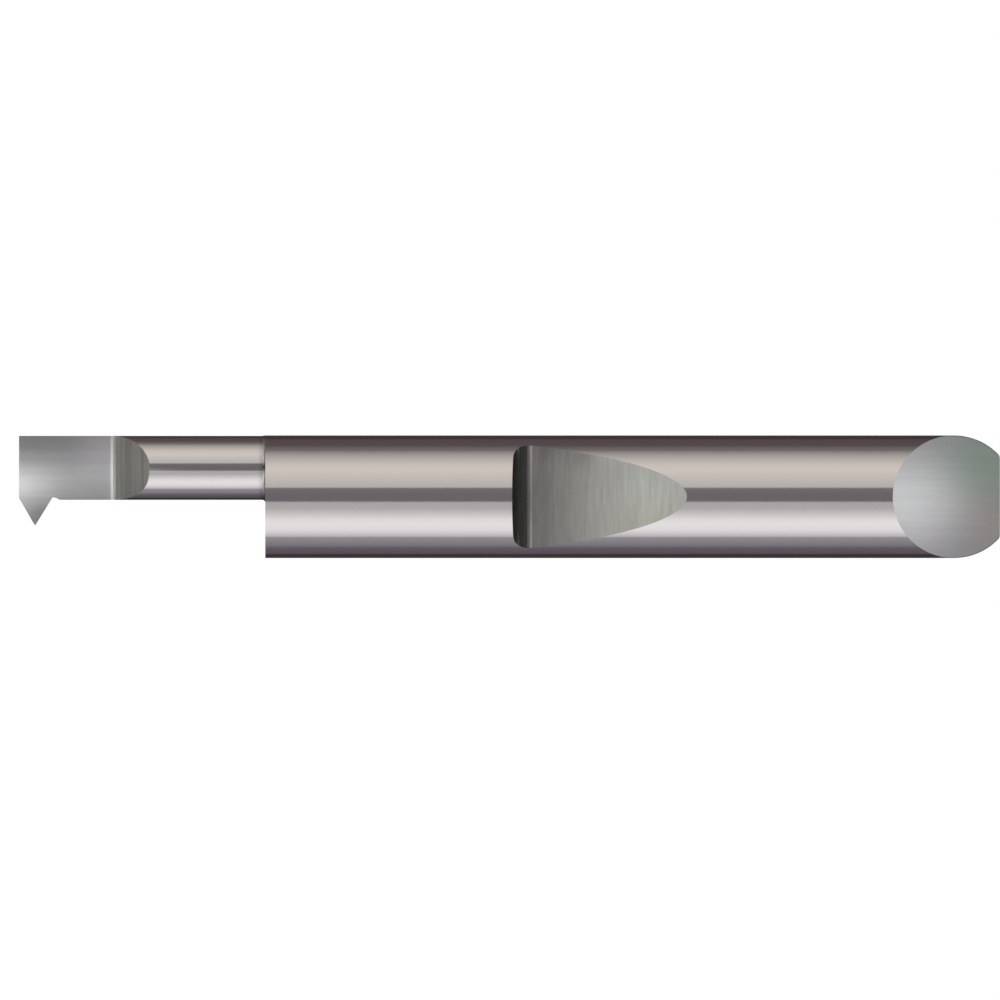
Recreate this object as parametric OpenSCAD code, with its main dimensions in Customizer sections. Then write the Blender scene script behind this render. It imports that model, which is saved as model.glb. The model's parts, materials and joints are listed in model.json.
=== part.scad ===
// Internal threading tool for a quick-change holder, ground from one solid carbide rod.
// X runs along the shank towards its rear end, and Z stands square to the rake face.
// The tooth points along -Y. The origin is on the shank's axis in the plane of the shoulder.

/* [Shank] */
// Diameter of the shank
shank_d = 7.9375; // [7:0.0125:10]
// Length over all, from the cutting end to the rear end
overall_len = 63.5; // [56:0.5:90]

/* [Neck] */
// Diameter of the neck
neck_d = 4.14; // [3.6:0.02:4.8]
// Length of head and neck, from the cutting end to the shoulder
reach = 15.94; // [11:0.02:24]
// Step from the shank's line in to the back line of the neck
back_step = 0.03; // [0.01:0.01:0.3]
// Fillet where the neck meets the shoulder
root_r = 0.2; // [0.05:0.05:0.4]

/* [Cutting head] */
// Length of the flat rake face
rake_len = 6.07; // [4:0.01:8]
// Angle at which the rake face runs out through the neck
runout_angle = 42; // [30:1:60]
// Corner radius between the rake face and its run-out
runout_r = 0.2; // [0.05:0.05:0.6]
// Clearance angle of the front face below the rake face
end_clearance = 6; // [1:0.5:12]

/* [Thread tooth] */
// Included angle of the thread form
thread_angle = 60; // [50:1:64]
// Distance from the front face back to the tip
tip_setback = 1.04; // [0.8:0.01:1.6]
// Height from the back line of the neck to the tip
swing = 5.77; // [5:0.01:6.2]
// Width of the flat on the tip
tip_flat = 0.06; // [0.02:0.01:0.2]
// Clearance angle below the tip
tip_clearance = 12; // [8:0.5:16]
// Radius on which the ground tooth sweeps back into the neck
sweep_r = 2.6; // [2.4:0.05:2.9]
// Depth of the trough ground below the line of the neck
trough_depth = 0.13; // [0.05:0.01:0.25]
// Length of the trough's floor behind the tooth
trough_land = 0.33; // [0.1:0.01:0.8]
// Corner radius at the trough's rear end
trough_r = 0.3; // [0.26:0.01:0.6]

/* [Clamping notch] */
// Distance from the rear end to the notch's wall
notch_from_rear = 31.58; // [24:0.02:36]
// Length of the notch along the shank
notch_len = 11.31; // [7:0.01:14]
// Slope of the notch's floor
notch_slope = 10; // [5:0.5:14]
// Fillet between the notch's wall and its floor
notch_r = 1.05; // [0.4:0.05:1.5]

/* [Rear bevel] */
// Angle between the bevel and the axis
bevel_angle = 45; // [40:1:48]
// Length of the bevel along the shank
bevel_len = 6.94; // [3:0.01:7.4]

/* [Hidden] */
$fn = 96;
// How far a cut runs past the metal
margin = 1;
// Number of straight steps that draw one flank of the tooth
flank_steps = 6;
shank_r = shank_d / 2;
neck_r = neck_d / 2;
shank_len = overall_len - reach;
front_x = -reach;
back_y = shank_r - back_step;
neck_y = back_y - neck_r;
// Height of the tooth above the trough, and how far it reaches into the neck below that
tooth_h = swing - neck_d + trough_depth;
tooth_root = 0.25;
tip_x = front_x + tip_setback;
tip_y = back_y - swing;
flank_slope = tan(thread_angle / 2);
// Axis of the tooth's sweep: the tip lies on its circle, leaning in by the clearance angle
sweep_y = tip_y + sweep_r * cos(tip_clearance);
sweep_z = sweep_r * sin(tip_clearance);
trough_y = tip_y + tooth_h;
trough_x = tip_x + tip_flat / 2 + tooth_h * flank_slope + trough_land;
notch_x = shank_len - notch_from_rear;
// Turn of the shank's seam from its underside, clear of the notch
seam_turn = 37.5;
carbide = "#b3aeac";

// Radius about the sweep's axis of a point on the rake face, at a depth below the tip
function sweep_radius(depth) = norm([sweep_r * cos(tip_clearance) - depth, sweep_z]);

// Places what is drawn along Z so that it runs along X
module along_x(x = 0, y = 0, z = 0) {
  translate([x, y, z]) rotate([0, 90, 0]) children();
}

// Extrudes an outline drawn in the plane of X and Z to both sides of the axis
module across_y(width) {
  rotate([90, 0, 0]) linear_extrude(width, center = true) children();
}

// The corner left by a grinding wheel with a rounded edge: what lies between the corner
// at the origin and the wheel's radius, where one side runs along +X and the other leans
// back from it by the given angle
module wheel_corner(r, angle) {
  reach_to_tangent = r / tan(angle / 2);
  difference() {
    polygon([
      [0, 0],
      [reach_to_tangent, 0],
      [reach_to_tangent, r],
      [reach_to_tangent * cos(angle), reach_to_tangent * sin(angle)]
    ]);
    translate([reach_to_tangent, r]) circle(r);
  }
}

// The round shank that the holder clamps
module shank_blank() {
  rotate([seam_turn, 0, 0]) along_x() cylinder(h = shank_len, r = shank_r);
}

// The eccentric neck, with its back line almost on the shank's line
module neck_blank() {
  along_x(front_x - margin, neck_y) cylinder(h = reach + 2 * margin, r = neck_r);
}

// Fillet round the foot of the neck, kept inside the shank's line
module neck_fillet() {
  intersection() {
    along_x(-root_r, neck_y) rotate_extrude() difference() {
      translate([neck_r - margin, 0]) square([margin + root_r, root_r + margin]);
      translate([neck_r + root_r, 0]) circle(root_r);
    }
    along_x(-margin) cylinder(h = 2 * margin, r = shank_r);
  }
}

// Trough that the wheel leaves in the neck beside the tooth, leaning in with depth
module trough_cut() {
  translate([0, trough_y, 0]) rotate([tip_clearance, 0, 0]) {
    translate([front_x - margin, -margin, -neck_d])
      cube([trough_x - front_x + margin, margin, neck_d + margin]);
    translate([trough_x, -trough_r, -neck_d]) cylinder(h = neck_d + margin, r = trough_r);
  }
}

// The form-relieved tooth: a V that is straight on the rake face and sweeps back below it
module tooth_blank() {
  depths = [for (i = [0:flank_steps]) i / flank_steps * (tooth_h + tooth_root)];
  rear = [for (d = depths) [sweep_radius(d), tip_flat / 2 + d * flank_slope]];
  front = [for (i = [flank_steps:-1:0]) [rear[i].x, -rear[i].y]];
  foot = rear[flank_steps].y;
  along_x(tip_x, sweep_y, sweep_z) rotate_extrude() polygon(concat(rear, [[0, foot], [0, -foot]], front));
}

// Everything above the rake face, out to the sloping run-out
module rake_cut() {
  rake_x = front_x + rake_len;
  top = shank_r + margin;
  across_y(2 * (shank_r + margin)) translate([rake_x, 0]) mirror([1, 0]) difference() {
    polygon([
      [0, 0],
      [rake_len + 2 * margin, 0],
      [rake_len + 2 * margin, top],
      [-top / tan(runout_angle), top]
    ]);
    wheel_corner(runout_r, 180 - runout_angle);
  }
}

// Everything ahead of the front face, which leans back below the rake face
module front_cut() {
  translate([front_x, 0, 0]) rotate([0, -end_clearance, 0])
    translate([-4 * margin, -shank_d, -shank_d]) cube([4 * margin, 2 * shank_d, 2 * shank_d]);
}

// Notch for the clamping screw: an upright wall, a fillet and a sloping floor
module notch_cut() {
  floor_drop = notch_len * tan(notch_slope);
  top = shank_r + margin;
  across_y(2 * (shank_r + margin)) translate([notch_x, shank_r - floor_drop]) difference() {
    polygon([
      [0, 0],
      [notch_len + margin / tan(notch_slope), floor_drop + margin],
      [0, floor_drop + margin]
    ]);
    rotate(notch_slope) wheel_corner(notch_r, 90 - notch_slope);
  }
}

// Bevel across the rear end, which the holder's stop bears on
module bevel_cut() {
  translate([shank_len - bevel_len, 0, shank_r]) rotate([0, bevel_angle, 0])
    translate([-4 * margin, -shank_d, 0]) cube([3 * shank_d, 2 * shank_d, 3 * shank_d]);
}

// The whole tool in one piece
module threading_tool() {
  color(carbide) difference() {
    union() {
      shank_blank();
      neck_fillet();
      difference() {
        neck_blank();
        trough_cut();
      }
      tooth_blank();
    }
    rake_cut();
    front_cut();
    notch_cut();
    bevel_cut();
  }
}

threading_tool();
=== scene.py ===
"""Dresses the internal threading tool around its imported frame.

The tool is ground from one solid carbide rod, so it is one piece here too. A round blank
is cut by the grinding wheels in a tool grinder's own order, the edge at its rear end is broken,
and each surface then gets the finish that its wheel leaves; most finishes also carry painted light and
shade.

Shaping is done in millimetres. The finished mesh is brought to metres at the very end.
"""

import json
import logging
from dataclasses import dataclass, field
from enum import Enum
from math import atan2, cos, degrees, hypot, pi, radians, sin, tan, tau
from typing import Any, Callable, Iterable, Optional, Sequence, Union

import bpy
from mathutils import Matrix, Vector

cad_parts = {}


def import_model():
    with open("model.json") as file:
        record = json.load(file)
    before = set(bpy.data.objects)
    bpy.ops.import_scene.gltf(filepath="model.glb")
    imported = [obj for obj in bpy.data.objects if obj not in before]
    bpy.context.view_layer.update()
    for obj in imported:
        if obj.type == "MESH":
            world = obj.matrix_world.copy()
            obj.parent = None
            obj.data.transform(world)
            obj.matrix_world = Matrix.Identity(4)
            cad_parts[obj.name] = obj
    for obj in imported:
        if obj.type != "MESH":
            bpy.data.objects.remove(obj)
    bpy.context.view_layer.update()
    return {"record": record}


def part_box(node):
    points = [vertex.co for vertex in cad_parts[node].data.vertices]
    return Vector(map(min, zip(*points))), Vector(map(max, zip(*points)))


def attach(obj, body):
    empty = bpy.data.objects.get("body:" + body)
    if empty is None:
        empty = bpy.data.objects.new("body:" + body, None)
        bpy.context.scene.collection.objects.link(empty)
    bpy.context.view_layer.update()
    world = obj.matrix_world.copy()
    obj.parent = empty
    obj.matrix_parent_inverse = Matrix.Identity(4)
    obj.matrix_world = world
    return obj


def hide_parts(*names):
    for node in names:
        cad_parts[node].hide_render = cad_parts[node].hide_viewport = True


log = logging.getLogger("threading_tool")

NODE = "threading_tool"
MM_PER_M = 1000.0
MARGIN = 1.0

Body = bpy.types.Object
Spot = tuple[float, float]
Colour = tuple[float, float, float]
Stop = tuple[float, float, float, float]
Point = tuple[float, float, float]


# Hand tools


def leave_edit_mode() -> None:
    """Goes back to object mode if a mesh is open."""
    if bpy.context.mode != "OBJECT":
        bpy.ops.object.mode_set(mode="OBJECT")


def clear_selection() -> None:
    """Goes back to object mode with nothing selected."""
    leave_edit_mode()
    bpy.ops.object.select_all(action="DESELECT")


def pick(obj: Body) -> None:
    """Selects one object alone and makes it active.

    Args:
        obj: The object that the next operator works on.
    """
    clear_selection()
    obj.select_set(True)
    bpy.context.view_layer.objects.active = obj


def add(primitive: Callable[..., Any], name: str, **sizes: Any) -> Body:
    """Adds a primitive with nothing else selected.

    Args:
        primitive: The operator that adds it.
        name: Name of the new object.
        sizes: Its sizes and its place.

    Returns:
        The new object.
    """
    clear_selection()
    primitive(**sizes)
    obj = bpy.context.active_object
    obj.name = name
    return obj


def open_mesh(obj: Body) -> None:
    """Opens an object's mesh with everything in it selected.

    Args:
        obj: The object to open.
    """
    pick(obj)
    bpy.ops.object.mode_set(mode="EDIT")
    bpy.ops.mesh.select_mode(type="VERT")
    bpy.ops.mesh.select_all(action="SELECT")


def select_points(obj: Body, wanted: Callable[[Vector], bool]) -> None:
    """Leaves a mesh open with just the wanted points selected, and what joins them.

    Args:
        obj: The object to open.
        wanted: Tells whether a point belongs to the selection.
    """
    open_mesh(obj)
    bpy.ops.mesh.select_all(action="DESELECT")
    leave_edit_mode()
    for vertex in obj.data.vertices:
        vertex.select = wanted(vertex.co)
    bpy.ops.object.mode_set(mode="EDIT")


def settle(obj: Body, same: float = 1e-5) -> None:
    """Merges doubles and turns every face outwards.

    Args:
        obj: The object whose mesh is closed.
        same: How near two points lie to count as one.
    """
    open_mesh(obj)
    bpy.ops.mesh.remove_doubles(threshold=same)
    bpy.ops.mesh.normals_make_consistent(inside=False)
    leave_edit_mode()


def arc(centre: Spot, radius: float, start: float, end: float, steps: int) -> list[Spot]:
    """Points along an arc, both ends included.

    Args:
        centre: Centre of the arc in its plane.
        radius: Radius of the arc.
        start: First angle in degrees.
        end: Last angle in degrees.
        steps: Number of straight steps.

    Returns:
        The points in order.
    """
    turns = [radians(start + (end - start) * i / steps) for i in range(steps + 1)]
    return [(centre[0] + radius * cos(t), centre[1] + radius * sin(t)) for t in turns]


def towards(centre: Spot, point: Vector) -> Vector:
    """Gives the direction in X and Z from a point to the centre of an arc."""
    return Vector((centre[0] - point.x, 0, centre[1] - point.z)).normalized()


@dataclass(frozen=True)
class Outline:
    """An outline drawn point by point, as with a pen."""

    points: tuple[Point, ...]

    def draw(self, name: str) -> Body:
        """Draws the outline as a chain of edges.

        Args:
            name: Name of the new object.

        Returns:
            The object, with its place in its mesh.
        """
        obj = add(bpy.ops.mesh.primitive_plane_add, name, size=MARGIN, location=self.points[0])
        bpy.ops.object.transform_apply(location=True, rotation=False, scale=False)
        open_mesh(obj)
        bpy.ops.mesh.merge(type="CENTER")
        for here, there in zip(self.points, self.points[1:]):
            step = [b - a for a, b in zip(here, there)]
            bpy.ops.mesh.extrude_region_move(TRANSFORM_OT_translate={"value": step})
        return obj

    def prism(self, name: str, sweep: Point) -> Body:
        """Fills the outline and extrudes it straight.

        Args:
            name: Name of the new object.
            sweep: How far the outline is pulled.

        Returns:
            The closed prism.
        """
        obj = self.draw(name)
        bpy.ops.mesh.select_all(action="SELECT")
        bpy.ops.mesh.edge_face_add()
        bpy.ops.mesh.select_all(action="SELECT")
        bpy.ops.mesh.extrude_region_move(TRANSFORM_OT_translate={"value": sweep})
        settle(obj)
        return obj

    def turned(self, name: str, centre: Point, steps: int) -> Body:
        """Spins the outline all the way round a line along X.

        Args:
            name: Name of the new object.
            centre: A point on the line.
            steps: Number of facets round the turn.

        Returns:
            The closed turned solid.
        """
        obj = self.draw(name)
        bpy.ops.mesh.select_all(action="SELECT")
        bpy.ops.mesh.spin(steps=steps, angle=tau, use_auto_merge=True, center=centre, axis=(1, 0, 0))
        settle(obj)
        return obj


def rod(name: str, radius: float, start: float, end: float, centre_y: float, facets: int) -> Body:
    """Adds a round rod along X.

    Args:
        name: Name of the new object.
        radius: Radius of the rod.
        start: X of its first end.
        end: X of its other end.
        centre_y: Where its axis lies in Y.
        facets: Number of facets round it.

    Returns:
        The rod, with its place in its mesh.
    """
    obj = add(
        bpy.ops.mesh.primitive_cylinder_add,
        name,
        vertices=facets,
        radius=radius,
        depth=end - start,
        location=((start + end) / 2, centre_y, 0),
        rotation=(0, pi / 2, 0),
    )
    bpy.ops.object.transform_apply(location=True, rotation=True, scale=True)
    return obj


def across_blank(points: Iterable[Spot], name: str, half: float) -> Body:
    """Sweeps an outline of X and Z right across the blank.

    Args:
        points: The outline.
        name: Name of the new object.
        half: How far it runs to either side of the axis.

    Returns:
        The shape to cut away.
    """
    outline = Outline(tuple((x, -half, z) for x, z in points))
    return outline.prism(name, (0, 2 * half, 0))


class Joining(Enum):
    """How two solids are put together."""

    FUSE = "UNION"
    GRIND_AWAY = "DIFFERENCE"


def combine(body: Body, other: Body, how: Joining) -> None:
    """Fuses a solid on to the body, or grinds its shape away, and removes it.

    Args:
        body: The solid that stays.
        other: The solid that is used up.
        how: Whether it is added or cut away.
    """
    pick(body)
    bpy.ops.object.modifier_add(type="BOOLEAN")
    step = body.modifiers[-1]
    step.solver = "EXACT"
    step.operation = how.value
    step.object = other
    bpy.ops.object.modifier_apply(modifier=step.name)
    log.info("%s, %s %s: %d faces", body.name, how.name.lower(), other.name, len(body.data.polygons))
    bpy.data.objects.remove(other, do_unlink=True)


# The tool's sizes and its parts


@dataclass(frozen=True)
class FrameSizes:
    """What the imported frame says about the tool, in millimetres and degrees."""

    front_x: float
    rear_x: float
    shank_r: float
    notch_slope: float
    bevel_angle: float

    @property
    def clear(self) -> float:
        """How far from the axis a wheel is clear of the blank."""
        return self.shank_r + MARGIN

    @classmethod
    def read(cls, record: dict[str, Any]) -> "FrameSizes":
        """Takes the sizes from the node's box and the record's mounts.

        Args:
            record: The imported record.

        Returns:
            The sizes.
        """
        low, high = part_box(NODE)
        mounts = {m["name"]: m for m in record["mounts"]}
        floor, bevel = mounts["lock_flat"]["axis"], mounts["stop_bevel"]["axis"]
        return cls(
            front_x=low.x * MM_PER_M,
            rear_x=high.x * MM_PER_M,
            shank_r=mounts["shank"]["dims"]["r_mm"],
            notch_slope=degrees(atan2(-floor[0], floor[2])),
            bevel_angle=degrees(atan2(bevel[0], bevel[2])),
        )


@dataclass
class Shank:
    """The round shank that the holder clamps."""

    frame: FrameSizes
    facets: int = 360
    edge_break: float = 0.1
    break_steps: int = 3

    def blank(self, overlap: float) -> Body:
        """Saws the round blank, a little long at the shoulder, and breaks its rear edge.

        Args:
            overlap: How far it runs past the shoulder.

        Returns:
            The blank.
        """
        blank = rod("blank", self.frame.shank_r, -overlap, self.frame.rear_x, 0, self.facets)
        select_points(blank, lambda point: point.x > 0)
        bpy.ops.mesh.bevel(offset=self.edge_break, segments=self.break_steps, profile=0.5)
        settle(blank)
        return blank


@dataclass
class Neck:
    """The slender eccentric neck and the fillet at its foot."""

    frame: FrameSizes
    diameter: float = 4.14
    back_step: float = 0.03
    root_r: float = 0.2
    facets: int = 256
    root_steps: int = 10
    sink: float = 0.002

    @property
    def radius(self) -> float:
        """Radius of the neck."""
        return self.diameter / 2

    @property
    def back_y(self) -> float:
        """Where the neck's back line lies."""
        return self.frame.shank_r - self.back_step

    @property
    def centre_y(self) -> float:
        """Where the neck's axis lies."""
        return self.back_y - self.radius

    def bar(self) -> Body:
        """Makes the neck's bar, long at both ends."""
        start = self.frame.front_x - MARGIN
        return rod("neck", self.radius, start, MARGIN, self.centre_y, self.facets)

    def shoulder_wheel(self) -> Body:
        """Makes the ring that a wheel with a rounded edge grinds round the neck's foot.

        Returns:
            The ring to cut away.
        """
        foot = self.radius - self.sink
        curve = arc((-self.root_r, foot + self.root_r), self.root_r, -90, 0, self.root_steps)
        reach = 2 * self.frame.shank_r
        profile = [(-MARGIN, reach), (-MARGIN, foot), *curve, (0.0, reach), (-MARGIN, reach)]
        points = tuple((x, self.centre_y - r, 0.0) for x, r in profile)
        return Outline(points).turned("shoulder_wheel", (0, self.centre_y, 0), self.facets)


@dataclass
class CuttingHead:
    """The flat rake face and the form-relieved thread tooth."""

    frame: FrameSizes
    neck: Neck
    rake_len: float = 6.07
    runout_angle: float = 41.0
    runout_r: float = 0.2
    runout_ease: float = 0.081
    ease_steps: int = 24
    end_clearance: float = 6.0
    front_flank: float = 30.0
    rear_flank: float = 31.6
    tip_setback: float = 1.04
    swing: float = 5.77
    tip_flat: float = 0.06
    tip_clearance: float = 12.0
    sweep_r: float = 2.6
    trough_depth: float = 0.15
    trough_land: float = 0.055
    trough_r: float = 0.6
    tooth_root: float = 0.25
    flank_steps: int = 12
    sweep_facets: int = 256
    arc_steps: int = 16

    @property
    def rake_x(self) -> float:
        """Where the rake face ends."""
        return self.frame.front_x + self.rake_len

    @property
    def tip(self) -> Spot:
        """X and Y of the tooth's tip."""
        return self.frame.front_x + self.tip_setback, self.neck.back_y - self.swing

    @property
    def slope(self) -> float:
        """Slope of the run-out in radians."""
        return radians(self.runout_angle)

    @property
    def runout_centre(self) -> Spot:
        """X and Z of the centre of the radius between rake face and run-out."""
        return self.rake_x - self.runout_r * tan(radians(self.runout_angle / 2)), self.runout_r

    @property
    def runout_top(self) -> Spot:
        """X and Z at which the run-out is clear of the blank."""
        return self.rake_x + self.frame.clear / tan(self.slope), self.frame.clear

    @property
    def runout_z(self) -> float:
        """Height at which the radius passes into the run-out."""
        return self.runout_r * (1 - cos(self.slope))

    @property
    def runout_normal(self) -> Vector:
        """Normal of the run-out's steepest side."""
        return Vector((-sin(self.slope), 0, cos(self.slope)))

    @property
    def tooth_h(self) -> float:
        """Height of the tooth above the trough."""
        return self.swing - self.neck.diameter + self.trough_depth

    def flank_reach(self, depth: float, angle: float) -> float:
        """How far a flank at an angle in degrees lies from the tooth's middle, at a depth below the tip."""
        return self.tip_flat / 2 + depth * tan(radians(angle))

    @property
    def lean(self) -> float:
        """Clearance of the tooth and its trough in radians."""
        return radians(self.tip_clearance)

    @property
    def sweep_axis(self) -> Spot:
        """Y and Z of the line that the tooth's relief turns about."""
        return self.tip[1] + self.sweep_r * cos(self.lean), self.sweep_r * sin(self.lean)

    def sweep_radius(self, depth: float) -> float:
        """Radius about the sweep's line of a point on the rake face, at a depth below the tip."""
        return hypot(self.sweep_axis[0] - self.tip[1] - depth, self.sweep_axis[1])

    def tooth(self) -> Body:
        """Turns the V of the tooth on its sweep.

        Returns:
            The swept tooth, before it is fused to the neck.
        """
        deepest = self.tooth_h + self.tooth_root
        depths = [deepest * i / self.flank_steps for i in range(self.flank_steps + 1)]
        front = [(-self.flank_reach(d, self.front_flank), self.sweep_radius(d)) for d in reversed(depths)]
        rear = [(self.flank_reach(d, self.rear_flank), self.sweep_radius(d)) for d in depths]
        profile = [(front[0][0], 0.0), *front, *rear, (rear[-1][0], 0.0)]
        axis_y, axis_z = self.sweep_axis
        points = tuple((self.tip[0] + w, axis_y - r, axis_z) for w, r in profile)
        return Outline(points).turned("tooth", (0, axis_y, axis_z), self.sweep_facets)

    def trough_wheel(self) -> Body:
        """Makes the trough beside the tooth, which leans in with depth.

        Returns:
            The shape to cut away.
        """
        floor_y = self.tip[1] + self.tooth_h
        end_x = self.tip[0] + self.flank_reach(self.tooth_h, self.rear_flank) + self.trough_land
        start_x = self.frame.front_x - MARGIN
        curve = arc((end_x, -self.trough_r), self.trough_r, 90, -90, self.arc_steps)
        flat = [(start_x, -MARGIN), (start_x, 0.0), *curve, (end_x, -MARGIN)]
        low, high = -self.neck.diameter, MARGIN
        across, up = (cos(self.lean), sin(self.lean)), (-sin(self.lean), cos(self.lean))
        foot_y, foot_z = floor_y + low * up[0], low * up[1]
        points = tuple((x, foot_y + y * across[0], foot_z + y * across[1]) for x, y in flat)
        sweep = (0.0, (high - low) * up[0], (high - low) * up[1])
        return Outline(points).prism("trough_wheel", sweep)

    def rake_wheel(self) -> Body:
        """Makes all that is ground away above the rake face, out to its sloping run-out.

        Returns:
            The shape to cut away.
        """
        curve = arc(self.runout_centre, self.runout_r, -90, -90 + self.runout_angle, self.arc_steps)
        start = self.frame.front_x - 2 * MARGIN
        outline = [(start, 0.0), *curve, self.runout_top, (start, self.frame.clear)]
        wheel = across_blank(outline, "rake_wheel", self.frame.clear)
        self.ease_runout(wheel)
        return wheel

    def ease_runout(self, wheel: Body) -> None:
        """Lets the run-out fall off more gently towards the tooth's side of the neck.

        Args:
            wheel: The straight shape, which is sliced and then drawn out slice by slice.
        """
        top_x, top = self.runout_top
        open_mesh(wheel)
        step = self.neck.radius / self.ease_steps
        slices = [self.neck.centre_y - step * (i + 1) for i in range(self.ease_steps + 1)]
        for y in slices:
            bpy.ops.mesh.select_all(action="SELECT")
            bpy.ops.mesh.bisect(plane_co=(0, y, 0), plane_no=(0, 1, 0))
        for y in [*slices, -top]:
            edge = Vector((top_x, y, top))
            select_points(wheel, lambda point: (point - edge).length < step / 2)
            out = self.neck.centre_y - max(y, slices[-1])
            bpy.ops.transform.translate(value=(self.runout_ease * out**2 * (top - self.runout_z), 0, 0))
        leave_edit_mode()

    def front_wheel(self) -> Body:
        """Makes all that is ground away ahead of the leaning front face.

        Returns:
            The shape to cut away.
        """
        reach = self.frame.clear
        lean = reach * tan(radians(self.end_clearance))
        x = self.frame.front_x
        outline = [(x - lean, reach), (x + lean, -reach), (x - 4 * MARGIN, -reach), (x - 4 * MARGIN, reach)]
        return across_blank(outline, "front_wheel", reach)


@dataclass
class ClampingNotch:
    """The notch whose sloping floor the holder's screw bears on."""

    frame: FrameSizes
    from_rear: float = 31.58
    length: float = 11.31
    wall_lean: float = 4.0
    corner_r: float = 1.0
    corner_steps: int = 32

    @property
    def wall_x(self) -> float:
        """Where the notch's wall meets the shank's top line."""
        return self.frame.rear_x - self.from_rear

    @property
    def slope(self) -> float:
        """Slope of the floor in radians."""
        return radians(self.frame.notch_slope)

    @property
    def lean(self) -> float:
        """Lean of the wall in radians."""
        return radians(self.wall_lean)

    @property
    def root(self) -> Spot:
        """The corner where wall and floor would meet without a fillet.

        Returns:
            Its X and Z.
        """
        fall, lean = tan(self.slope), tan(self.lean)
        depth = self.length * fall / (1 + lean * fall)
        return self.wall_x + depth * lean, self.frame.shank_r - depth

    @property
    def corner_centre(self) -> Spot:
        """The centre of the fillet between wall and floor.

        Returns:
            Its X and Z.
        """
        tangent = self.corner_r / tan((pi / 2 + self.lean - self.slope) / 2)
        x = self.root[0] + tangent * cos(self.slope) - self.corner_r * sin(self.slope)
        return x, self.root[1] + tangent * sin(self.slope) + self.corner_r * cos(self.slope)

    def wheel(self) -> Body:
        """Makes the notch's shape.

        Returns:
            The shape to cut away.
        """
        top = self.frame.clear
        start, end = 180 + self.wall_lean, 270 + self.frame.notch_slope
        curve = arc(self.corner_centre, self.corner_r, start, end, self.corner_steps)
        near = (self.wall_x - MARGIN * tan(self.lean), top)
        far = (self.root[0] + (top - self.root[1]) / tan(self.slope), top)
        return across_blank([near, *curve, far], "notch_wheel", top)


@dataclass
class RearBevel:
    """The bevel across the rear end, which the holder's stop bears on."""

    frame: FrameSizes
    length: float = 6.94

    @property
    def start_x(self) -> float:
        """Where the bevel starts on the shank's top line."""
        return self.frame.rear_x - self.length

    def wheel(self) -> Body:
        """Makes all that is ground away above the bevel.

        Returns:
            The shape to cut away.
        """
        fall = tan(radians(self.frame.bevel_angle))
        ahead, past = -2 * MARGIN, self.length + 2 * MARGIN
        top = self.frame.shank_r - ahead * fall
        outline = [
            (self.start_x + ahead, top),
            (self.start_x + past, self.frame.shank_r - past * fall),
            (self.start_x + past, top),
        ]
        return across_blank(outline, "bevel_wheel", self.frame.clear)


class Surface(Enum):
    """The ground surfaces, each with a finish of its own."""

    ROUND = 0
    RAKE = 1
    CORNER = 2
    RUNOUT = 3
    ROOT = 4
    NOTCH = 5
    BEVEL = 6
    RELIEF = 7
    END = 8


# Shader maths


@dataclass(frozen=True)
class Signal:
    """A shader socket that takes part in sums written as Python expressions."""

    board: "Board"
    socket: bpy.types.NodeSocket

    def __add__(self, other: "Value") -> "Signal":
        """Adds."""
        return self.board.sum("ADD", self, other)

    def __sub__(self, other: "Value") -> "Signal":
        """Takes away."""
        return self.board.sum("SUBTRACT", self, other)

    def __rsub__(self, other: float) -> "Signal":
        """Takes away from a number."""
        return self.board.sum("SUBTRACT", other, self)

    def __mul__(self, other: "Value") -> "Signal":
        """Multiplies."""
        return self.board.sum("MULTIPLY", self, other)

    def __pow__(self, other: "Value") -> "Signal":
        """Raises to a power."""
        return self.board.sum("POWER", self, other)

    def __rpow__(self, other: float) -> "Signal":
        """Raises a number to it."""
        return self.board.sum("POWER", other, self)

    __radd__ = __add__
    __rmul__ = __mul__

    def size(self) -> "Signal":
        """Drops the sign."""
        return self.board.sum("ABSOLUTE", self)

    def rise(self, start: float, end: float) -> "Signal":
        """Rises smoothly from 0 to 1.

        Args:
            start: The value at which it is 0.
            end: The value at which it is 1.

        Returns:
            The smooth step.
        """
        settings = {"interpolation_type": "SMOOTHSTEP"}
        sockets = {"Value": self, "From Min": start, "From Max": end}
        return self.board.node("MapRange", settings, sockets).out("Result")


Value = Union[Signal, float]


@dataclass(frozen=True)
class Placed:
    """A node on the board."""

    board: "Board"
    node: bpy.types.Node

    def out(self, name: str) -> Signal:
        """Gives one of the node's outputs by name."""
        found = next(s for s in self.node.outputs if name in (s.identifier, s.name))
        return Signal(self.board, found)


def set_stops(ramp: bpy.types.ColorRamp, stops: Sequence[Stop]) -> None:
    """Puts the stops of a colour ramp in place.

    Args:
        ramp: The ramp.
        stops: The place and the colour of each stop.
    """
    while len(ramp.elements) < len(stops):
        ramp.elements.new(1.0)
    for element, (place, *colour) in zip(ramp.elements, stops):
        element.position = place
        element.color = (*colour, 1.0)


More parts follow.
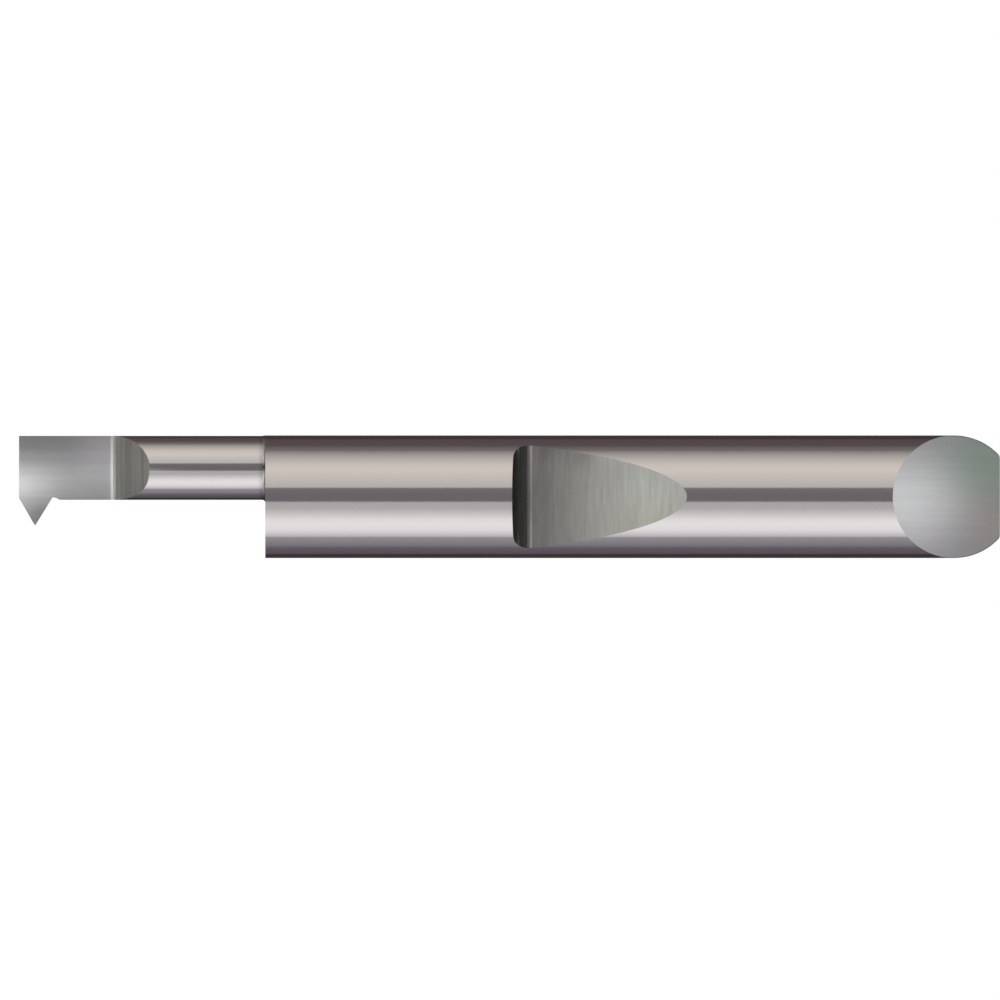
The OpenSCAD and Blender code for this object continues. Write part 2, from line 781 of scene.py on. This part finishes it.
class Board:
    """A node tree that is wired from expressions."""

    def __init__(self, tree: bpy.types.NodeTree) -> None:
        """Takes the tree of a material or of the world, and clears it."""
        self.tree = tree
        tree.nodes.clear()

    def node(self, kind: str, settings: dict[str, Any], sockets: dict[str, Any]) -> Placed:
        """Places a node, sets it up and wires its inputs.

        Args:
            kind: Type of the shader node.
            settings: Its settings, set first, and the stops of a ramp.
            sockets: Values or signals of its inputs, by name or identifier.

        Returns:
            The placed node.
        """
        node = self.tree.nodes.new("ShaderNode" + kind)
        for name, value in settings.items():
            if name == "stops":
                set_stops(node.color_ramp, value)
            else:
                setattr(node, name, value)
        for name, value in sockets.items():
            socket = next(s for s in node.inputs if name in (s.identifier, s.name))
            if isinstance(value, Signal):
                self.tree.links.new(value.socket, socket)
            else:
                socket.default_value = value
        return Placed(self, node)

    def sum(self, operation: str, *values: Value) -> Signal:
        """Works out one step of arithmetic on one or two numbers or signals."""
        sockets = dict(zip(("Value", "Value_001"), values))
        return self.node("Math", {"operation": operation}, sockets).out("Value")

    def blend(self, share: Value, first: Union[Signal, Colour], second: Union[Signal, Colour]) -> Signal:
        """Mixes two colours.

        Args:
            share: Share of the second colour.
            first: The colour at 0.
            second: The colour at 1.

        Returns:
            The mixed colour.
        """
        colours = {
            name: value if isinstance(value, Signal) else (*value, 1.0)
            for name, value in {"A_Color": first, "B_Color": second}.items()
        }
        settings = {"data_type": "RGBA", "clamp_factor": True}
        return self.node("Mix", settings, {"Factor_Float": share, **colours}).out("Result_Color")

    def place(self) -> tuple[Signal, Signal, Signal]:
        """Reads the place on the object.

        Returns:
            X, Y and Z in the object's own units.
        """
        coordinates = self.node("TexCoord", {}, {}).out("Object")
        split = self.node("SeparateXYZ", {}, {"Vector": coordinates})
        return split.out("X"), split.out("Y"), split.out("Z")

    def show(self, shader: Signal, output: str = "OutputMaterial") -> None:
        """Ends the tree in a shader, at an output node of the given type."""
        self.node(output, {}, {"Surface": shader})

    def noise(self, x: Value, y: Value, z: Value, detail: float = 2.0) -> Signal:
        """Reads smooth noise at a point.

        Args:
            x: First coordinate, in periods of the noise.
            y: Second coordinate.
            z: Third coordinate.
            detail: Number of finer layers.

        Returns:
            The noise, from about 0 to 1.
        """
        spot = self.node("CombineXYZ", {}, {"X": x, "Y": y, "Z": z}).out("Vector")
        sockets = {"Vector": spot, "Scale": 1.0, "Detail": detail}
        return self.node("TexNoise", {}, sockets).out("Fac")


def new_material(name: str) -> tuple[bpy.types.Material, Board]:
    """Makes an empty material.

    Args:
        name: Name of the material.

    Returns:
        The material and its board.
    """
    material = bpy.data.materials.new(name)
    material.use_nodes = True
    return material, Board(material.node_tree)


# Finishes


class Lay(Enum):
    """Which way the wheel's scratches run on a flat face."""

    ALONG = 0.0
    ACROSS = 0.25


@dataclass(frozen=True)
class Finish:
    """What a wheel leaves on bare metal."""

    name: str

    def dress(self) -> bpy.types.Material:
        """Makes the material.

        Returns:
            The material.
        """
        material, board = new_material(self.name)
        sockets = {"Metallic": 1.0, **self.sockets(board)}
        board.show(board.node("BsdfPrincipled", {}, sockets).out("BSDF"))
        return material

    def sockets(self, board: Board) -> dict[str, Any]:
        """Leaves the wiring to each finish."""
        raise NotImplementedError


@dataclass(frozen=True)
class PolishedRound(Finish):
    """Cylindrically ground and polished carbide, with painted shade that darkens the neck towards its foot.
    """

    name: str = "polished_round"
    tint: Colour = (0.64, 0.62, 0.61)
    roughness: float = 0.07
    unevenness: float = 0.02
    # painted shade at the neck's foot: how far back it reaches and how much it darkens
    foot_shade_length: float = 0.55
    foot_shade_depth: float = 0.38
    lines_per_mm: float = 14.0
    line_breaks: float = 120.0
    line_detail: float = 3.0
    clouds_along: float = 90.0
    clouds_round: float = 160.0

    def sockets(self, board: Board) -> dict[str, Any]:
        """Wires up fine turned lines, soft clouds and the painted shade at the neck's foot.

        Args:
            board: The board to wire them on.

        Returns:
            What the shader's sockets get.
        """
        x, y, z = board.place()
        breaks, clouds = self.line_breaks, self.clouds_round
        lines = board.noise(x * (MM_PER_M * self.lines_per_mm), y * breaks, z * breaks, self.line_detail)
        cloud = board.noise(x * self.clouds_along, y * clouds, z * clouds)
        # painted shade: the neck's colour darkens over its last stretch before the shoulder
        foot = (x * MM_PER_M).rise(-self.foot_shade_length, 0.0) * board.sum("LESS_THAN", x, 0.0)
        foot_shaded_tint = tuple(c * (1 - self.foot_shade_depth) for c in self.tint)
        return {
            "Base Color": board.blend(foot, self.tint, foot_shaded_tint),
            "Roughness": self.roughness + cloud * self.unevenness + lines * self.unevenness,
        }


@dataclass(frozen=True)
class PaintedLightPatch:
    """A patch of painted light, painted shade or painted reflection colour on a ground face, in millimetres.
    """

    x: float
    y: float
    reach: float
    tint: Colour

    def over(self, board: Board, colour: Signal, x: Signal, y: Signal) -> Signal:
        """Lays the painted patch of light or shade over a colour, by X and Y in millimetres."""
        away = board.sum("SQRT", (x - self.x) ** 2.0 + (y - self.y) ** 2.0)
        return board.blend((self.reach - away).rise(0.0, self.reach), colour, self.tint)


@dataclass(frozen=True)
class DullCornerWithPaintedLight(Finish):
    """The radius that a wheel's worn corner leaves, without a lay of its own, with its colour painted: two
    tints across the radius and patches of painted light and shade.
    """

    tint: Colour
    end_tint: Colour
    start_x: float
    end_x: float
    painted_patches: tuple[PaintedLightPatch, ...] = ()
    roughness: float = 0.3
    unevenness: float = 0.1
    grain: float = 4000.0

    def sockets(self, board: Board) -> dict[str, Any]:
        """Wires up the grain and the two painted tints with their painted patches of light and shade.

        Args:
            board: The board to wire them on.

        Returns:
            What the shader's sockets get.
        """
        x, y, z = board.place()
        grain = board.noise(x * self.grain, y * self.grain, z * self.grain)
        # painted light and shade: the tint turns into the end tint across the radius
        turn = (x * MM_PER_M).rise(self.start_x, self.end_x)
        colour = board.blend(turn, self.tint, self.end_tint)
        for patch in self.painted_patches:
            colour = patch.over(board, colour, x * MM_PER_M, y * MM_PER_M)
        return {"Base Color": colour, "Roughness": self.roughness + (grain - 0.5) * self.unevenness}


@dataclass(frozen=True)
class Seam:
    """A line across the tool where a wheel's radius runs out into a flat, in millimetres."""

    x: float
    step: float
    half_width: float = 0.1


@dataclass(frozen=True)
class Hollow:
    """The slight hollow that a wheel leaves along a face, as a curvature between two lines."""

    curvature: float
    start_x: float
    end_x: float


@dataclass(frozen=True)
class Rim:
    """Painted shade along the rim where a ground face meets the round of the blank, in place of an edge
    break that isn't modelled, in millimetres.
    """

    axis_y: float
    radius: float
    width: float
    rim_shade: float
    fade: float = 1.0


@dataclass(frozen=True)
class SatinFlat(Finish):
    """A flat ground face with fine parallel scratches."""

    lay: Lay
    tint: Colour
    roughness: float = 0.3
    anisotropy: float = 0.7
    streaks: float = 0.08
    waves: float = 1.0
    scratch: float = 11.0
    seams: tuple[Seam, ...] = ()
    painted_patches: tuple[PaintedLightPatch, ...] = ()
    hollow: Optional[Hollow] = None
    rim: Optional[Rim] = None
    unevenness: float = 0.08
    streak_height: float = 0.0008
    fine_pitch: float = 4600.0
    broad_pitch: float = 1400.0
    broad_run: float = 40.0

    def relief(self, board: Board, x: Signal, streak: Signal) -> Signal:
        """Works out the height of the ground face, in millimetres.

        Args:
            board: The board to wire it on.
            x: X in millimetres.
            streak: The broad streaks, from about 0 to 1.

        Returns:
            The height: the streaks, the wheel's hollow and the seams.
        """
        height = streak * self.streak_height
        if self.hollow:
            start, curvature = self.hollow.start_x, self.hollow.curvature
            turning = board.sum("MINIMUM", x, self.hollow.end_x)
            steepest = curvature * (self.hollow.end_x - start)
            height = height + (turning - start) ** 2.0 * (curvature / 2) + (x - turning) * steepest
        for seam in self.seams:
            height = height + x.rise(seam.x - seam.half_width, seam.x + seam.half_width) * seam.step
        return height

    def colour(self, board: Board, place: tuple[Signal, Signal, Signal], shade: Signal) -> Signal:
        """Works out the colour of the metal.

        Args:
            board: The board to wire it on.
            place: X, Y and Z in millimetres.
            shade: How light the scratches leave it, about 1.

        Returns:
            The tint with its painted patches of light and shade, shaded by the scratches and by painted
            shade along the rim.
        """
        x, y, z = place
        colour = board.blend(0.0, self.tint, self.tint)
        for patch in self.painted_patches:
            colour = patch.over(board, colour, x, y)
        if self.rim:
            out = board.sum("SQRT", (y - self.rim.axis_y) ** 2.0 + z * z)
            below = 1.0 - z.rise(0.0, self.rim.fade)
            # painted shade: the colour darkens along the rim, standing in for an edge break
            rim_shaded = out.rise(self.rim.radius - self.rim.width, self.rim.radius) * below
            shade = shade * (1.0 - rim_shaded * self.rim.rim_shade)
        sockets = {"Vector": colour, "Scale": shade}
        return board.node("VectorMath", {"operation": "SCALE"}, sockets).out("Vector")

    def sockets(self, board: Board) -> dict[str, Any]:
        """Wires up the scratches, their shade and their relief.

        Args:
            board: The board to wire them on.

        Returns:
            What the shader's sockets get.
        """
        x, y, z = board.place()
        along, across = (x, y) if self.lay is Lay.ALONG else (y, x)
        slow = MM_PER_M / self.scratch
        fine = board.noise(along * slow, across * self.fine_pitch, z * slow)
        broad = board.noise(along * self.broad_run, across * self.broad_pitch, z * self.broad_run)
        shade = 1.0 + (fine - 0.5) * self.streaks + (broad - 0.5) * (self.streaks * self.waves)
        place = (x * MM_PER_M, y * MM_PER_M, z * MM_PER_M)
        bump = {"Height": self.relief(board, place[0], broad), "Distance": 1 / MM_PER_M}
        return {
            "Base Color": self.colour(board, place, shade),
            "Roughness": self.roughness + (broad - 0.5) * self.unevenness,
            "Anisotropic": self.anisotropy,
            "Anisotropic Rotation": self.lay.value,
            "Normal": board.node("Bump", {}, bump).out("Normal"),
        }


FINISHES = {
    Surface.ROUND: PolishedRound(),
    Surface.RAKE: SatinFlat(
        "satin_rake", Lay.ALONG, (0.63, 0.645, 0.64),
        roughness=0.26, anisotropy=0.55, streaks=0.09,
        seams=(Seam(-9.955, 0.012), Seam(-9.9, 0.07, 0.6)),
        # painted highlight towards the rake face's rear end on its back side, and painted shade towards the
        # tooth's tip
        painted_patches=(PaintedLightPatch(-10.18, 3.0, 2.9, (0.8, 0.815, 0.81)), PaintedLightPatch(-14.3, -1.1, 1.2, (0.51, 0.52, 0.52))),
    ),
    Surface.CORNER: DullCornerWithPaintedLight(
        # painted light and shade: the tint turns lighter across the radius, and a patch of painted shade
        # darkens it towards the tooth's side
        "rake_corner", (0.59, 0.585, 0.575), (0.65, 0.645, 0.625), start_x=-9.95, end_x=-9.8,
        painted_patches=(PaintedLightPatch(-9.8, 0.2, 2.6, (0.55, 0.545, 0.53)),),
    ),
    Surface.RUNOUT: SatinFlat(
        "cross_ground_runout", Lay.ACROSS, (0.62, 0.615, 0.585),
        roughness=0.24, anisotropy=0.5, streaks=0.8, waves=0.3,
        seams=(Seam(-9.76, -0.03, 0.14),),
        # painted shade: a patch darkens the run-out's far part
        painted_patches=(PaintedLightPatch(-7.5, 0.4, 2.9, (0.46, 0.455, 0.43)),),
    ),
    Surface.ROOT: DullCornerWithPaintedLight(
        # painted shade and painted highlight: the tint runs from dark at the neck's end to near white at the
        # shoulder's end, and dark patches are painted where the neck's reflection runs dark, at its middle
        # and both edges
        "shoulder_root", (0.45, 0.44, 0.43), (1.0, 0.98, 0.97), start_x=-0.2, end_x=-0.03,
        painted_patches=(
            PaintedLightPatch(-0.1, 4.2, 0.7, (0.3, 0.29, 0.29)),
            PaintedLightPatch(-0.1, 1.91, 0.5, (0.05, 0.045, 0.05)),
            PaintedLightPatch(-0.1, -0.35, 0.8, (0.3, 0.29, 0.3)),
        ),
    ),
    Surface.NOTCH: SatinFlat(
        # painted shade: the notch gets a darker tint than the other ground faces
        "cross_ground_notch", Lay.ACROSS, (0.42, 0.42, 0.39),
        roughness=0.22, anisotropy=0.6, streaks=0.42, waves=0.4, scratch=2.2,
        hollow=Hollow(0.0235, 17.2, 25.0),
        seams=(Seam(16.94, -0.032, 0.16), Seam(17.14, 0.024, 0.17)),
        # a greenish painted reflection, painted shade towards the floor's back side near the wall, and a
        # painted highlight towards its far end
        painted_patches=(
            PaintedLightPatch(24.9, -1.5, 3.0, (0.42, 0.425, 0.365)),
            PaintedLightPatch(18.3, 3.4, 1.6, (0.32, 0.325, 0.3)),
            PaintedLightPatch(20.4, 2.9, 1.7, (0.32, 0.32, 0.3)),
            PaintedLightPatch(24.7, 0.5, 2.4, (0.455, 0.455, 0.42)),
        ),
    ),
    Surface.BEVEL: SatinFlat(
        "along_ground_bevel", Lay.ALONG, (0.645, 0.65, 0.655),
        roughness=0.24, anisotropy=0.5, streaks=0.1, scratch=6.0,
        # painted reflections: greenish, warm and violet patches
        painted_patches=(
            PaintedLightPatch(46.9, 2.3, 4.6, (0.56, 0.655, 0.58)),
            PaintedLightPatch(47.0, -1.9, 3.6, (0.69, 0.65, 0.63)),
            PaintedLightPatch(43.2, -2.8, 3.0, (0.665, 0.65, 0.68)),
        ),
        # painted shade along the rim, in place of an edge break
        rim=Rim(axis_y=0.0, radius=3.96875, width=0.12, rim_shade=0.4),
    ),
    Surface.RELIEF: SatinFlat("ground_relief", Lay.ALONG, (0.6, 0.59, 0.58)),
    Surface.END: SatinFlat("faced_end", Lay.ALONG, (0.6, 0.59, 0.58)),
}


# The whole tool


@dataclass
class ThreadingTool:
    """The whole tool, ground from one rod."""

    frame: FrameSizes
    shank: Shank = field(init=False)
    neck: Neck = field(init=False)
    head: CuttingHead = field(init=False)
    notch: ClampingNotch = field(init=False)
    bevel: RearBevel = field(init=False)
    same: float = 0.004
    sliver: float = 0.0015
    round_share: float = 0.999
    facing_up: float = 0.99
    leaning_up: float = 0.5
    sharp_angle: float = 20.0

    def __post_init__(self) -> None:
        """Gives each part the frame's sizes."""
        self.shank = Shank(self.frame)
        self.neck = Neck(self.frame)
        self.head = CuttingHead(self.frame, self.neck)
        self.notch = ClampingNotch(self.frame)
        self.bevel = RearBevel(self.frame)

    def grind(self) -> Body:
        """Grinds the tool from its blank.

        Returns:
            The finished shape, in millimetres.
        """
        head = self.neck.bar()
        combine(head, self.head.trough_wheel(), Joining.GRIND_AWAY)
        combine(head, self.head.tooth(), Joining.FUSE)
        combine(head, self.head.rake_wheel(), Joining.GRIND_AWAY)
        combine(head, self.head.front_wheel(), Joining.GRIND_AWAY)
        body = self.shank.blank(self.neck.root_r)
        combine(body, self.neck.shoulder_wheel(), Joining.GRIND_AWAY)
        combine(body, self.notch.wheel(), Joining.GRIND_AWAY)
        combine(body, self.bevel.wheel(), Joining.GRIND_AWAY)
        combine(body, head, Joining.FUSE)
        body.name = "ground_threading_tool"
        body.data.name = body.name
        settle(body, self.sliver)
        return body

    def is_round(self, place: Vector, normal: Vector) -> bool:
        """Tells whether a face lies on the round of the shank or the neck.

        Args:
            place: The face's centre in millimetres.
            normal: Its normal.

        Returns:
            True on either round.
        """
        axis_y, radius = (0.0, self.frame.shank_r) if place.x > 0 else (self.neck.centre_y, self.neck.radius)
        out = Vector((0, place.y - axis_y, place.z))
        return out.length > radius - self.same and normal.dot(out) > self.round_share * out.length

    def surface_at(self, centre: Vector, normal: Vector) -> Surface:
        """Tells which ground surface a face belongs to.

        Args:
            centre: The face's centre in millimetres.
            normal: Its normal.

        Returns:
            The surface.
        """
        level = abs(normal.y) < self.same
        head_end = self.head.rake_x - self.head.runout_r
        if self.is_round(centre, normal):
            return Surface.ROUND
        on_rake = abs(centre.z) < self.same and centre.x < self.head.rake_x
        if level and on_rake and normal.z > self.facing_up:
            return Surface.RAKE
        if head_end < centre.x < -self.neck.root_r and normal.z > self.leaning_up:
            return Surface.RUNOUT if centre.z > self.head.runout_z else Surface.CORNER
        if -self.neck.root_r - self.same < centre.x < -self.same:
            return Surface.ROOT
        past_wall = centre.x - self.notch.wall_x
        if level and -self.same < past_wall < self.notch.length + self.same:
            return Surface.NOTCH
        if level and centre.x > self.bevel.start_x and min(normal.x, normal.z) > self.leaning_up:
            return Surface.BEVEL
        return Surface.RELIEF if centre.x < -self.same else Surface.END

    def true_normal(self, surface: Surface, face: bpy.types.MeshPolygon, point: Vector) -> Vector:
        """Gives the normal of the true surface at a corner of one of its facets.

        Args:
            surface: The ground surface.
            face: The facet.
            point: The corner in millimetres.

        Returns:
            The normal, or a zero vector where the smoothed one stays.
        """
        if surface is Surface.ROUND:
            axis_y = 0.0 if face.center.x > 0 else self.neck.centre_y
            return Vector((0, point.y - axis_y, point.z)).normalized()
        off_floor = face.normal.x + sin(self.notch.slope)
        off_wall = face.normal.z - sin(self.notch.lean)
        if surface is Surface.NOTCH and min(off_floor, off_wall) > self.same:
            return towards(self.notch.corner_centre, point)
        if surface is Surface.CORNER:
            return towards(self.head.runout_centre, point)
        if surface is Surface.RUNOUT:
            return self.head.runout_normal
        if surface in (Surface.RAKE, Surface.NOTCH, Surface.BEVEL):
            return face.normal
        return Vector((0, 0, 0))

    def dress(self, body: Body) -> None:
        """Gives every face its finish, and every corner the normal of the true surface.

        Args:
            body: The finished shape, in millimetres.
        """
        mesh = body.data
        for surface in Surface:
            mesh.materials.append(FINISHES[surface].dress())
        for face in mesh.polygons:
            face.material_index = self.surface_at(face.center, face.normal).value
        pick(body)
        bpy.ops.object.shade_smooth_by_angle(angle=radians(self.sharp_angle))
        normals = [Vector((0, 0, 0))] * len(mesh.loops)
        for face in mesh.polygons:
            for corner in face.loop_indices:
                point = mesh.vertices[mesh.loops[corner].vertex_index].co
                normals[corner] = self.true_normal(Surface(face.material_index), face, point)
        mesh.normals_split_custom_set(normals)
        # the wheels' scratches follow the mesh's texture space, so its middle is put far off along X
        mesh.use_auto_texspace = False
        mesh.texspace_location = (-MM_PER_M, 0, 0)
        mesh.texspace_size = (MM_PER_M,) * 3


# Studio


def stage_plane(name: str, size: float, centre: Point, turn: Point = (0, 0, 0)) -> tuple[Body, Board]:
    """Adds a plane that is no part of the tool and isn't sampled as a lamp.

    Args:
        name: Name of the plane and its material.
        size: Length of its side.
        centre: Where its middle lies, in metres.
        turn: Its turn about X, Y and Z, in radians.

    Returns:
        The plane and the board of its material.
    """
    plane = add(bpy.ops.mesh.primitive_plane_add, name, size=size, location=centre, rotation=turn)
    material, board = new_material(name)
    material.cycles.emission_sampling = "NONE"
    plane.data.materials.append(material)
    return plane, board


def new_card(name: str, centre: Point, turn: Point, half_size: Spot) -> Board:
    """Hangs a plane that shows only in reflections.

    Args:
        name: Name of the card.
        centre: Where its middle hangs, in metres.
        turn: Its turn about X, Y and Z, in radians.
        half_size: Half its width and half its height.

    Returns:
        The board of its material, on which its own X and Y run from -1 to 1.
    """
    card, board = stage_plane(name, 2, centre, turn)
    card.scale = (*half_size, 1)
    card.visible_camera = card.visible_diffuse = card.visible_shadow = False
    return board


@dataclass(frozen=True)
class LongCard:
    """A long card or soft box beside the tool.

    Angles are taken round the shank's axis from straight above, positive towards +Y, and
    each stop is an angle with its colour.
    """

    name: str
    start: float
    end: float
    stops: tuple[Stop, ...]
    distance: float = 0.17
    length: float = 1.2
    centre_x: float = 0.016

    def hang(self) -> None:
        """Hangs the card."""
        middle, half = radians((self.start + self.end) / 2), radians((self.end - self.start) / 2)
        centre = (self.centre_x, self.distance * sin(middle), self.distance * cos(middle))
        half_size = (self.length / 2, self.distance * tan(half))
        board = new_card(self.name, centre, (pi - middle, 0, 0), half_size)
        across = board.place()[1]
        turn = board.sum("ARCTANGENT", across * tan(half)) * (-0.5 / half) + 0.5
        stops = [((angle - self.start) / (self.end - self.start), *colour) for angle, *colour in self.stops]
        colour = board.node("ValToRGB", {"stops": stops}, {"Fac": turn}).out("Color")
        board.show(board.node("Emission", {}, {"Color": colour, "Strength": 1.0}).out("Emission"))


class Facing(Enum):
    """Which way a card faces, as its turn about Y in radians."""

    DOWN = pi
    BACK = pi / 2
    FORWARD = -pi / 2


@dataclass(frozen=True)
class SmallCard:
    """A card with a soft edge, through which the rest of the studio shows.

    Its first half size lies along the tool or upright, and its second across the tool.
    """

    name: str
    centre: Point
    facing: Facing
    half_size: Spot
    glow: Colour = (0.0, 0.0, 0.0)
    shade: float = 0.0
    edge: float = 1.0
    round: bool = False

    def hang(self) -> None:
        """Hangs the card."""
        board = new_card(self.name, self.centre, (0, self.facing.value, 0), self.half_size)
        x, y, _ = board.place()
        reach = board.sum("SQRT", x * x + y * y) if self.round else board.sum("MAXIMUM", x.size(), y.size())
        middle = (1.0 - reach).rise(0.0, self.edge)
        clear = board.node("BsdfTransparent", {}, {}).out("BSDF")
        light = board.node("Emission", {}, {"Color": (*self.glow, 1.0)}).out("Emission")
        smoked = {"Color": (*grey(1.0 - self.shade), 1.0)}
        film = board.node("BsdfTransparent", {}, smoked).out("BSDF")
        lit = board.node("AddShader", {}, {"Shader": light, "Shader_001": film}).out("Shader")
        sockets = {"Fac": middle, "Shader": clear, "Shader_001": lit}
        board.show(board.node("MixShader", {}, sockets).out("Shader"))


def grey(level: float) -> Colour:
    """Gives a neutral grey."""
    return (level, level, level)


CARDS = (
    LongCard(
        "overhead_flag", -9.4, 16.8,
        ((-9.0, 0.216, 0.2, 0.221), (4.0, 0.221, 0.2, 0.216), (16.0, 0.25, 0.232, 0.25)),
        distance=0.16, length=0.126, centre_x=-0.003,
    ),
    LongCard("warm_softbox", 17.0, 94.0, (
        (17.0, 0.68, 0.67, 0.66), (50.0, 0.95, 0.875, 0.825), (62.0, 0.9, 0.825, 0.78),
        (84.0, 0.54, 0.52, 0.5), (94.0, 0.34, 0.33, 0.32),
    )),
    LongCard("cool_softbox", -81.0, -9.6, (
        (-81.0, 0.68, 0.67, 0.73), (-66.0, 1.1, 1.08, 1.12), (-54.0, 1.18, 1.18, 1.21),
        (-44.0, 1.14, 1.12, 1.13), (-22.0, 0.64, 0.63, 0.635), (-10.0, 0.6, 0.58, 0.59),
    )),
    LongCard("brown_wall", 94.0, 142.0, (
        (94.0, 0.28, 0.25, 0.25), (106.0, 0.19, 0.16, 0.16), (112.0, 0.14, 0.11, 0.115),
        (138.0, 0.12, 0.09, 0.095),
    )),
    LongCard("violet_wall", -142.0, -81.0, (
        (-138.0, 0.12, 0.1, 0.12), (-112.0, 0.18, 0.16, 0.2), (-104.0, 0.28, 0.27, 0.31),
        (-81.0, 0.43, 0.42, 0.45),
    )),
    LongCard(
        "dark_tray", 138.0, 222.0, ((138.0, 0.07, 0.05, 0.055), (222.0, 0.05, 0.045, 0.05)), distance=0.12
    ),
    SmallCard(
        "front_flag", (-0.15, 0.0, -0.01), Facing.BACK, (0.08, 0.2), (0.2, 0.2, 0.19), shade=1.0, edge=0.1
    ),
    SmallCard(
        "rear_ceiling", (0.2, 0.0, 0.155), Facing.DOWN, (0.16, 0.06), grey(0.055), shade=1.0, edge=0.3
    ),
    SmallCard(
        "rear_flag", (0.24, 0.0, 0.13), Facing.FORWARD, (0.1, 0.25), grey(0.05), shade=1.0, edge=0.02
    ),
    SmallCard(
        "rear_wall", (0.239, 0.0, -0.045), Facing.FORWARD, (0.08, 0.3), grey(0.36), shade=1.0, edge=0.05
    ),
    SmallCard(
        "rear_kicker", (0.0575, -0.0003, 0.0038), Facing.FORWARD, (0.0064, 0.0043), grey(0.83), round=True
    ),
    SmallCard(
        "front_kicker", (-0.0178, 0.0007, 0.006), Facing.DOWN, (0.0056, 0.0016), grey(1.75), 0.6, round=True
    ),
    SmallCard("rake_kicker", (-0.0155, 0.0012, 0.006), Facing.DOWN, (0.0115, 0.0015), grey(0.6), round=True),
    SmallCard("head_flag", (-0.0155, 0.0065, 0.009), Facing.DOWN, (0.007, 0.0045), shade=0.85, round=True),
)


@dataclass(frozen=True)
class Studio:
    """White ground, white surroundings and the camera straight above the tool."""

    view_width: float = 0.06473
    view_x: float = 0.015195
    view_y: float = -0.000211
    camera_height: float = 0.3
    clip: Spot = (0.01, 2.0)
    floor_drop: float = 0.2
    floor_size: float = 4.0
    floor_paint: float = 0.85
    floor_glow: float = 1.07
    glow_share: float = 0.8
    room_light: float = 0.9

    @staticmethod
    def seen_white(board: Board) -> Signal:
        """Gives 1 for what the camera, gloss and glass see, and 0 otherwise.

        Args:
            board: The board to wire it on.

        Returns:
            The signal.
        """
        path = board.node("LightPath", {}, {})
        rays = path.out("Is Camera Ray") + path.out("Is Glossy Ray") + path.out("Is Transmission Ray")
        return board.sum("MINIMUM", rays, 1.0)

    def surround(self) -> None:
        """Makes the white surroundings."""
        world = bpy.data.worlds.new("surroundings")
        bpy.context.scene.world = world
        world.use_nodes = True
        world.cycles.sampling_method = "NONE"
        board = Board(world.node_tree)
        strength = self.room_light + self.seen_white(board) * (1 - self.room_light)
        light = board.node("Background", {}, {"Color": (1, 1, 1, 1), "Strength": strength})
        board.show(light.out("Background"), "OutputWorld")

    def lay_floor(self) -> None:
        """Lays the pale floor well below the tool, which hangs by its shank."""
        _, board = stage_plane("floor", self.floor_size, (0, 0, -self.floor_drop))
        colour = {"Color": (*grey(self.floor_paint), 1)}
        paint = board.node("BsdfDiffuse", {}, colour).out("BSDF")
        glow = board.node("Emission", {}, {"Strength": self.floor_glow}).out("Emission")
        share = self.seen_white(board) * self.glow_share
        sockets = {"Fac": share, "Shader": paint, "Shader_001": glow}
        board.show(board.node("MixShader", {}, sockets).out("Shader"))

    def set_camera(self) -> None:
        """Puts the camera straight above the tool, as in the photograph."""
        data = bpy.data.cameras.new("camera")
        data.type = "ORTHO"
        data.ortho_scale = self.view_width
        data.clip_start, data.clip_end = self.clip
        camera = bpy.data.objects.new("camera", data)
        camera.location = (self.view_x, self.view_y, self.camera_height)
        bpy.context.scene.collection.objects.link(camera)
        bpy.context.scene.camera = camera

    def build(self) -> None:
        """Builds the studio."""
        bpy.context.scene.view_settings.view_transform = "Standard"
        self.surround()
        self.lay_floor()
        for card in CARDS:
            card.hang()
            log.info("hung %s", card.name)
        self.set_camera()


def main() -> None:
    """Builds the tool, its finishes, its light and its camera."""
    logging.basicConfig(level=logging.INFO, format="%(name)s: %(message)s")
    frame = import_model()
    tool = ThreadingTool(FrameSizes.read(frame["record"]))
    piece = tool.grind()
    tool.dress(piece)
    log.info("ground %s: %d faces", piece.name, len(piece.data.polygons))
    pick(piece)
    piece.scale = (1 / MM_PER_M,) * 3
    bpy.ops.object.transform_apply(location=False, rotation=False, scale=True)
    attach(piece, "root")
    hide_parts(NODE)
    Studio().build()


if __name__ == "__main__":
    main()
